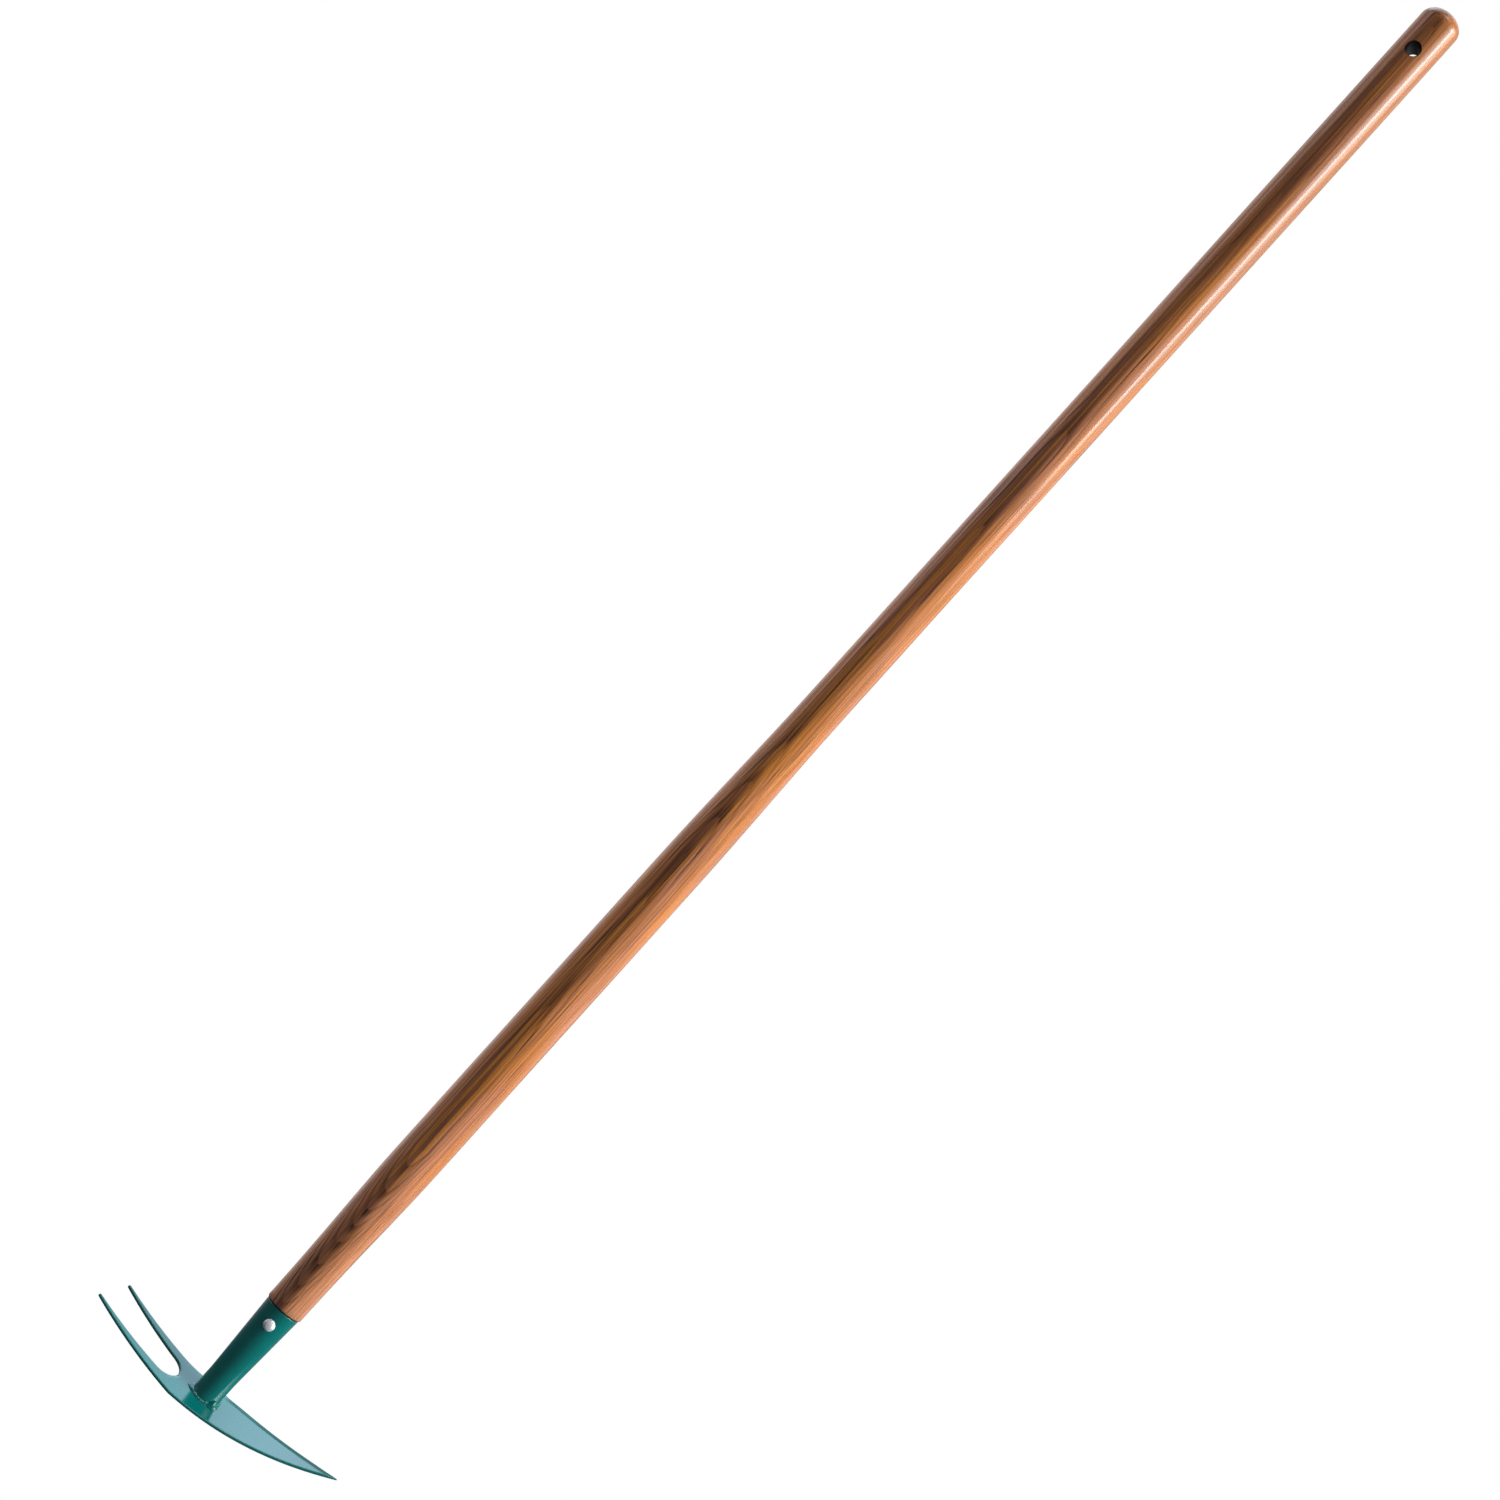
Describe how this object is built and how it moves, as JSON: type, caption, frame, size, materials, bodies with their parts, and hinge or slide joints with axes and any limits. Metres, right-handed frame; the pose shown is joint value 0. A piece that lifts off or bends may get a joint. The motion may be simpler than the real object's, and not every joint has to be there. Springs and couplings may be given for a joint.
{
  "type": "combination weeding hoe",
  "caption": "Long wooden-handled weeding hoe with a welded steel head: pointed curved blade on one side, two-tine fork on the other, tapered riveted socket.",
  "frame": {"origin": "centre of the hang hole in the handle's grip end, on the handle's axis", "axes": "+Z along the handle's axis from the head towards the grip end, +X along the head towards the blade's point, +Y towards the blade's ground rear edge; the hang hole's bore lies along Y"},
  "size_m": [0.1906, 0.0532, 1.2181],
  "materials": {
    "oiled_wood": "oiled and lacquered ash, satin gloss",
    "green_enamel": "glossy green enamel on pressed steel",
    "bright_steel": "bright zinc-plated steel, polished"
  },
  "bodies": {
    "root": {"handle": "oiled_wood", "socket": "green_enamel", "rivet": "bright_steel", "head_plate": "green_enamel", "weld_bead": "green_enamel"}
  },
  "joints": []
}
